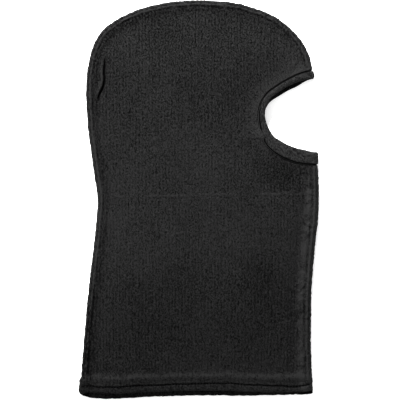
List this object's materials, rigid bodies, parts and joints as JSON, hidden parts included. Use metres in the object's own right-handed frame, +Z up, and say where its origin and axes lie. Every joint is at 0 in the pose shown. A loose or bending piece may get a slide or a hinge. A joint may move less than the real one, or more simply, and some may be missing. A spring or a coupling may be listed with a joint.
{
  "type": "balaclava",
  "caption": "Knitted balaclava hood laid flat on its side, with an open neck, a turned hem and a banded opening for the face.",
  "frame": {"origin": "middle of the object's box, on the surface that it lies on", "axes": "+X towards the face, +Y from the neck hem towards the crown, +Z up from the surface; the wearer's right side is uppermost"},
  "size_m": [0.2402, 0.4002, 0.022],
  "materials": {
    "knit": "charcoal black fine rib knit, soft and slightly fuzzy",
    "band_knit": "charcoal black rib knit, folded and pressed",
    "thread": "black spun sewing thread"
  },
  "bodies": {
    "root": {"right_panel": "knit", "left_panel": "knit", "face_band": "band_knit", "crown_needle_thread": "thread", "crown_looper_thread": "thread", "throat_needle_thread": "thread", "throat_looper_thread": "thread", "band_needle_thread": "thread", "band_looper_thread": "thread", "hem_needle_thread": "thread", "hem_looper_thread": "thread"}
  },
  "joints": []
}
